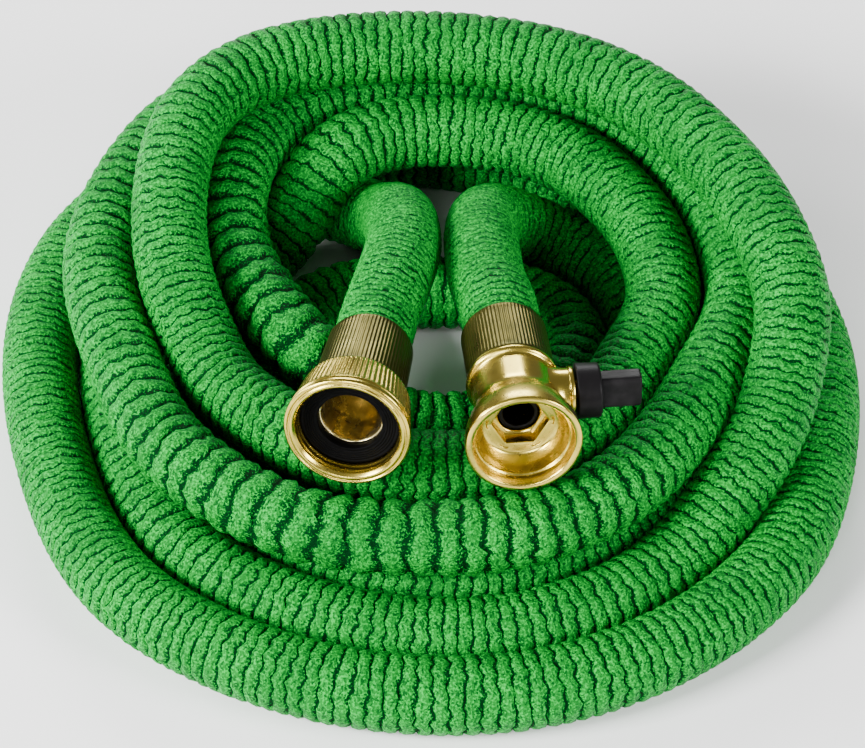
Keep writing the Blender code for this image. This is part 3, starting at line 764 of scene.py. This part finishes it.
class GARDENHOSE_OT_ferrules(bpy.types.Operator):
    """Build the two knurled ferrules that crimp the hose"""
    bl_idname = "garden_hose.ferrules"
    bl_label = "Ferrules"

    def execute(self, context):
        sizes, colours = context.scene.garden_hose_sizes, context.scene.garden_hose_colours
        # The knurled ferrules are nearly all the dull colour, tinted olive-green as a
        # painted reflection of the green hose, and darkened to 0.42 of their colour.
        knurled = brass_material("knurled_brass", colours, 0.33, 0.1, dulled=1.0, least=0.85,
                                 darkening=0.58)
        for name, node, back, axes, length, front in (
                ("knurled_coupling_ferrule", "coupling_ferrule", COUPLING_BACK,
                 COUPLING_AXES, 0.0222, 0.0127),
                ("knurled_valve_ferrule", "valve_ferrule", VALVE_BACK, VALVE_AXES,
                 0.0198, 0.0120)):
            shell = ferrule_shell(back, axes, length, front, sizes)
            ring = surface_mesh(name, [shell], knurled)
            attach(ring, "hose")
            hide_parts(node)
        return {'FINISHED'}


class GARDENHOSE_OT_nut(bpy.types.Operator):
    """Build the swivel nut, with its knurl, its double rim and its thread"""
    bl_idname = "garden_hose.nut"
    bl_label = "Swivel nut"

    def execute(self, context):
        sizes, colours = context.scene.garden_hose_sizes, context.scene.garden_hose_colours
        back, front = 0.0228, COUPLING_LENGTH
        path = outline([
            (0.0136, back, 0.0003), (0.0149, back + 0.0014, 0.0006),
            (0.0166, front - 0.0040, 0.0012), (0.0169, front - 0.0028, 0.0003),
            (0.0166, front - 0.0024, 0.0002), (0.0166, front - 0.0019, 0.0002),
            (0.0171, front - 0.0015, 0.0004), (0.0171, front - 0.0004, 0.0005),
            (0.0163, front, 0.0003), (0.0160, front - 0.0004, 0.0002),
            (0.0157, front - 0.0004, 0.0002), (0.0154, front, 0.0003),
            (0.0148, front, 0.0003), (NUT_BORE, front - 0.0010, 0.0003),
            (NUT_BORE, back + 0.0050, 0.0), (0.0090, back + 0.0050, 0.0),
            (0.0090, back, 0.0)], 0.00035, steps=3)
        columns = 4 * sizes.knurl_count
        cut = knurl(path, columns, sizes.knurl_depth * 2, back + 0.0008, front - 0.0030,
                    0.0142)
        cut += self.thread(path, columns, sizes, back + 0.0062, front - 0.0012)
        shell = turned_shell(path, columns, COUPLING_BACK, COUPLING_AXES, cut)
        nut = surface_mesh("threaded_nut", [shell],
                           brass_material("turned_brass", colours, 0.20, 0.25))
        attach(nut, "nut")
        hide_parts("swivel_nut")
        return {'FINISHED'}

    @staticmethod
    def thread(path, columns, sizes, first, last):
        """A ridge inwards from the bore that climbs one pitch in each turn round: a rounded
        wave of distance over pitch, less the share of a turn."""
        angle = np.arange(columns) / columns
        radius, along = path[:, :1], path[:, 1:]
        wave = 0.5 + 0.5 * np.cos(tau * (along / sizes.thread_pitch - angle[None, :]))
        fade = (np.clip((along - first) / 0.0006, 0, 1)
                * np.clip((last - along) / 0.0008, 0, 1))
        in_bore = np.abs(radius - NUT_BORE) < 0.0001
        return -sizes.thread_height * wave ** 1.5 * fade * in_bore


class GARDENHOSE_OT_washer(bpy.types.Operator):
    """Build the ridged rubber washer inside the nut"""
    bl_idname = "garden_hose.washer"
    bl_label = "Washer"

    def execute(self, context):
        colours = context.scene.garden_hose_colours
        back, front = 0.0315, 0.0341
        ridges = []
        for radius in np.arange(0.0128, 0.0095, -0.0007):
            ridges += [(float(radius), front + 0.00004, 0.00018),
                       (float(radius) - 0.00035, front - 0.00022, 0.00018)]
        path = outline([(0.0135, back, 0.0003), (0.0135, front, 0.0006), *ridges,
                        (0.0087, front, 0.0005), (0.0087, back, 0.0003)], 0.0008, steps=3)
        washer = surface_mesh(
            "ridged_washer", [turned_shell(path, 128, COUPLING_BACK, COUPLING_AXES)],
            black_material("black_rubber_ring", colours.rubber, 0.45, 0.4, 0.03))
        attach(washer, "nut")
        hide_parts("rubber_washer")
        return {'FINISHED'}


class GARDENHOSE_OT_water_way(bpy.types.Operator):
    """Build the spigot, whose funnel shows behind the washer"""
    bl_idname = "garden_hose.water_way"
    bl_label = "Water way"

    def execute(self, context):
        colours = context.scene.garden_hose_colours
        flange_back, flange_front = 0.0282, 0.0312
        path = outline([
            (0.0132, flange_front, 0.0003), (0.0132, flange_back, 0.0003),
            (0.0086, flange_back, 0.0), (0.0086, 0.0020, 0.0), (0.0050, 0.0020, 0.0),
            (0.0050, 0.0130, 0.0008), (0.0066, 0.0175, 0.0012), (0.0076, 0.0225, 0.0015),
            (0.0080, flange_front - 0.0007, 0.0005), (0.0084, flange_front, 0.0002)],
            0.0010)
        spigot = surface_mesh(
            "coupling_water_way", [turned_shell(path, 96, COUPLING_BACK, COUPLING_AXES)],
            brass_material("bored_brass", colours, 0.22, 0.9, pale=0.35))
        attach(spigot, "hose")
        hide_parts("coupling_spigot")
        return {'FINISHED'}


def bell_radius(along):
    """Outer radius of the valve's body at a distance from its back."""
    steps = ((0.0200, 0.0114), (0.0340, 0.0114), (0.0361, 0.0122), (0.0403, 0.0143),
             (0.0441, 0.0154), (0.0483, 0.0156))
    return np.interp(along, *np.array(steps).T)


def valve_shell():
    """The one-piece body, turned: tail, bead, neck and bell outside; bowl, hexagon recess,
    seat pocket, ball chamber and bore inside. In the recess the radius is the distance to
    the hexagon's side: half the size across flats over the cosine of the angle from the
    middle of that side."""
    front = VALVE_LENGTH
    chamber = [(BALL_CHAMBER * cos(a), STEM_AT + BALL_CHAMBER * sin(a), 0.0)
               for a in map(radians, range(50, -51, -10))]
    path = outline([
        (VALVE_BORE, 0.0020, 0.0), (0.0086, 0.0020, 0.0), (0.0086, 0.0201, 0.0),
        (0.0117, 0.0201, 0.0002), (0.0127, 0.0206, 0.0008), (0.0127, 0.0220, 0.0008),
        (0.0117, 0.0226, 0.0003), (0.0114, 0.0231, 0.0004), (0.0114, 0.0338, 0.0022),
        (0.0146, 0.0405, 0.0026), (0.0156, 0.0448, 0.0015),
        (0.0157, front - 0.0004, 0.0008), (0.0149, front, 0.0005),
        (0.0137, front - 0.0003, 0.0004), (0.0131, front - 0.0022, 0.0006),
        (0.0130, front - 0.0034, 0.0002), (0.0125, front - 0.0038, 0.0002),
        (0.0118, 0.0412, 0.0014), (0.0102, 0.0387, 0.0008),
        (HEX_SIDE, HEX_FRONT, 0.0003), (HEX_SIDE, HEX_BACK, 0.0003),
        (0.0057, HEX_BACK, 0.0), (0.0057, 0.0323, 0.0), (VALVE_BORE, 0.0323, 0.0),
        (VALVE_BORE, STEM_AT + 0.0064, 0.0), *chamber,
        (VALVE_BORE, STEM_AT - 0.0064, 0.0)], 0.0008)
    columns = 240
    angle = np.arange(columns) * tau / columns
    from_side = np.abs(angle % (pi / 3) - pi / 6)
    radius, along = path[:, :1], path[:, 1:]
    recess = ((along > HEX_BACK - 0.0005) & (along < HEX_FRONT + 0.0001)
              & (radius < 0.0085) & (radius > 0.0060))
    six = (1.0 / np.cos(from_side) - 1.0)[None, :] * radius * recess
    return turned_shell(path, columns, VALVE_BACK, VALVE_AXES, six)


def boss_shell():
    """The boss round the stem. Its outline runs from a wide foot on the body up to its
    ring; at each angle round the stem the foot's height is that of the body under it, the
    square root of the body's radius squared less the sideways distance squared."""
    columns, rows = 96, 15
    angle = np.arange(columns) * tau / columns
    ahead, sideways = np.cos(angle), np.sin(angle)
    share = np.linspace(0.0, 1.0, rows)[:, None]
    radius = 0.0065 + 0.0022 * (1 - share) ** 2.2
    body = bell_radius(STEM_AT + radius * ahead)
    foot = np.sqrt(np.maximum(body ** 2 - (radius * sideways) ** 2, 1e-8)) - 0.0002
    rise = foot[0] * (1 - share ** 1.5) + 0.0141 * share ** 1.5
    top = np.array((
        (0.0065, 0.0142), (0.0065, 0.0144), (0.0068, 0.0145), (0.0069, 0.0147),
        (0.0069, 0.0155), (0.0066, 0.0158), (0.0033, 0.0158), (0.0033, 0.0100),
        (0.0033, 0.0095), (0.0060, 0.0095)))
    radius = np.vstack([np.repeat(r, columns, axis=1) for r in (radius, top[:, :1])])
    height = np.vstack((np.maximum(rise, foot - 0.0004),
                        np.repeat(top[:, 1:], columns, axis=1)))
    local = np.stack((height, radius * sideways, radius * ahead), axis=-1)
    points = place(local, STEM_ORIGIN, VALVE_AXES)
    return points, angle / tau * 4.0, np.arange(len(points)) * 0.08, True, False


class GARDENHOSE_OT_valve(bpy.types.Operator):
    """Build the valve's body with its boss, and the seat ring in its recess"""
    bl_idname = "garden_hose.valve"
    bl_label = "Valve body"

    def execute(self, context):
        colours = context.scene.garden_hose_colours
        cast = brass_material("satin_brass", colours, 0.23, 0.35, dulled=0.4)
        body = surface_mesh("valve_casting", [valve_shell(), boss_shell()], cast)
        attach(body, "hose")
        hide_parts("valve_body")

        path = outline([(0.0054, 0.0346, 0.0004), (0.0054, 0.0326, 0.0002),
                        (0.0041, 0.0326, 0.0002), (0.0041, 0.0346, 0.0006)], 0.0006)
        seat = surface_mesh("seat_ring", [turned_shell(path, 96, VALVE_BACK, VALVE_AXES)],
                            black_material("seat_rubber", colours.rubber, 0.30, 0.3, 0.10))
        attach(seat, "hose")
        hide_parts("valve_seat")
        # The ball is painted near black: painted shade for the dark inside of the valve's
        # bore.
        ball_shade = ball_shade_material(colours)
        turned = brass_material("stem_brass", colours, 0.2, 0.1, has_uv=False)
        for node, made in (("valve_ball", ball_shade), ("valve_stem", turned)):
            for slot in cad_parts[node].material_slots:
                slot.material = made
        return {'FINISHED'}


def grip_shell(width, thickness, from_height, to_height):
    """A flat grip: a superellipse carried up the stem's axis, drawn in at both ends."""
    columns, rows = 96, 17
    angle = np.arange(columns) * tau / columns
    square = (np.abs(np.cos(angle)) ** 8 + np.abs(np.sin(angle)) ** 8) ** (-1 / 8)
    share = np.linspace(-1.0, 1.0, rows)
    share = np.sign(share) * np.abs(share) ** 0.45
    round_off = np.clip((1.0 - np.abs(share)) / 0.09, 0.0, 1.0)
    draw_in = 0.0011 * (1.0 - np.sqrt(1.0 - (1.0 - round_off) ** 2))
    middle, half = (from_height + to_height) / 2, (to_height - from_height) / 2
    across = (width / 2 - draw_in[:, None]) * (square * np.cos(angle))[None, :]
    deep = (thickness / 2 - draw_in[:, None]) * (square * np.sin(angle))[None, :]
    high = np.repeat((middle + half * share)[:, None], columns, axis=1)
    local = np.stack((high, deep, across), axis=-1)
    return place(local, STEM_ORIGIN, VALVE_AXES), angle / tau * 3.0, share, False, True


class GARDENHOSE_OT_lever(bpy.types.Operator):
    """Build the black lever: a hub on the stem and a flat grip"""
    bl_idname = "garden_hose.lever"
    bl_label = "Lever"

    def execute(self, context):
        colours = context.scene.garden_hose_colours
        path = outline([
            (0.0074, 0.0230, 0.0009), (0.0076, 0.0164, 0.0004), (0.0031, 0.0162, 0.0),
            (0.0031, 0.0221, 0.0), (0.00002, 0.0222, 0.0), (0.00002, 0.0230, 0.0)], 0.0008)
        level, upwards, along = VALVE_AXES
        hub = turned_shell(path, 72, STEM_ORIGIN, (upwards, along, level))
        grip = grip_shell(0.0050, 0.0096, 0.0226, 0.0342)
        lever = surface_mesh("lever", [hub, grip], black_material(
            "black_moulding", colours.plastic, 0.34, 0.35, 0.08))
        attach(lever, "handle")
        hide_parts("valve_handle")
        return {'FINISHED'}


def aim(obj, target):
    """Turn a camera or light so that it looks at the target."""
    obj.rotation_euler = (Vector(target) - obj.location).to_track_quat('-Z', 'Y').to_euler()


def soft_light(name, place_at, width, height, power):
    """A rectangular light that faces the coil."""
    data = bpy.data.lights.new(name, 'AREA')
    data.shape = 'RECTANGLE'
    data.size, data.size_y = width, height
    data.energy = power
    light = bpy.data.objects.new(name, data)
    bpy.context.scene.collection.objects.link(light)
    light.location = place_at
    aim(light, (0.0, 0.0, 0.03))


class GARDENHOSE_OT_stage(bpy.types.Operator):
    """Build the floor, the lights, the world and the camera"""
    bl_idname = "garden_hose.stage"
    bl_label = "Stage"

    def execute(self, context):
        scene, colours = context.scene, context.scene.garden_hose_colours
        mesh = bpy.data.meshes.new("studio_floor")
        reach = 6.0
        mesh.from_pydata([(-reach, -reach, 0.0), (reach, -reach, 0.0), (reach, reach, 0.0),
                          (-reach, reach, 0.0)], [], [(0, 1, 2, 3)])
        floor = bpy.data.objects.new("studio_floor", mesh)
        scene.collection.objects.link(floor)
        made, tree, shader = new_material("pale_floor")
        place_in = add_node(tree, "ShaderNodeTexCoord").outputs["Object"]
        grain = noise(tree, place_in, 3.0, 2.0)
        base = mix_colours(tree, grain, colour(colours.floor), colour(colours.floor, 0.985))
        tree.links.new(base, shader.inputs["Base Color"])
        shader.inputs["Roughness"].default_value = 0.75
        mesh.materials.append(made)

        world = bpy.data.worlds.new("studio")
        world.use_nodes = True
        background = world.node_tree.nodes["Background"]
        background.inputs["Color"].default_value = (1.0, 1.0, 1.0, 1.0)
        background.inputs["Strength"].default_value = 0.19
        scene.world = world
        for light in (("key_light", (-1.45, -0.85, 1.00), 0.80, 0.60, 108.0),
                      ("left_light", (-1.60, 0.60, 0.50), 0.70, 0.60, 28.0),
                      ("fill_light", (1.50, -0.80, 0.85), 0.70, 0.60, 40.0),
                      ("front_light", (-0.35, -1.85, 1.00), 0.70, 0.40, 27.0),
                      ("back_light", (-0.10, 1.65, 0.88), 0.90, 0.35, 26.0)):
            soft_light(*light)

        data = bpy.data.cameras.new("photo_camera")
        data.lens = CAMERA_LENS
        data.sensor_width = 36.0
        data.clip_start, data.clip_end = 0.05, 30.0
        camera = bpy.data.objects.new("photo_camera", data)
        scene.collection.objects.link(camera)
        camera.location = CAMERA_TARGET + CAMERA_DISTANCE * Vector(
            (0.0, -cos(CAMERA_ELEVATION), sin(CAMERA_ELEVATION)))
        aim(camera, CAMERA_TARGET)
        scene.camera = camera
        return {'FINISHED'}


OPERATORS = (GARDENHOSE_OT_stage, GARDENHOSE_OT_hose, GARDENHOSE_OT_ferrules,
             GARDENHOSE_OT_nut, GARDENHOSE_OT_washer, GARDENHOSE_OT_water_way,
             GARDENHOSE_OT_valve, GARDENHOSE_OT_lever)


class GARDENHOSE_PT_panel(bpy.types.Panel):
    """Sizes, colours and pieces of the garden hose"""
    bl_idname = "GARDENHOSE_PT_panel"
    bl_label = "Garden hose"
    bl_space_type = 'VIEW_3D'
    bl_region_type = 'UI'
    bl_category = "Garden hose"

    def draw(self, context):
        layout = self.layout
        for group in (context.scene.garden_hose_sizes, context.scene.garden_hose_colours):
            box = layout.box()
            for name in group.__annotations__:
                box.prop(group, name)
        column = layout.column(align=True)
        for operator in OPERATORS:
            column.operator(operator.bl_idname)


CLASSES = (GardenHoseSizes, GardenHoseColours) + OPERATORS + (GARDENHOSE_PT_panel,)


def register():
    for cls in CLASSES:
        bpy.utils.register_class(cls)
    bpy.types.Scene.garden_hose_sizes = PointerProperty(type=GardenHoseSizes)
    bpy.types.Scene.garden_hose_colours = PointerProperty(type=GardenHoseColours)


def unregister():
    del bpy.types.Scene.garden_hose_colours
    del bpy.types.Scene.garden_hose_sizes
    for cls in reversed(CLASSES):
        bpy.utils.unregister_class(cls)


def main():
    register()
    bpy.ops.garden_hose.stage()
    bpy.ops.garden_hose.hose()
    bpy.ops.garden_hose.ferrules()
    bpy.ops.garden_hose.nut()
    bpy.ops.garden_hose.washer()
    bpy.ops.garden_hose.water_way()
    bpy.ops.garden_hose.valve()
    bpy.ops.garden_hose.lever()


if __name__ == "__main__":
    main()
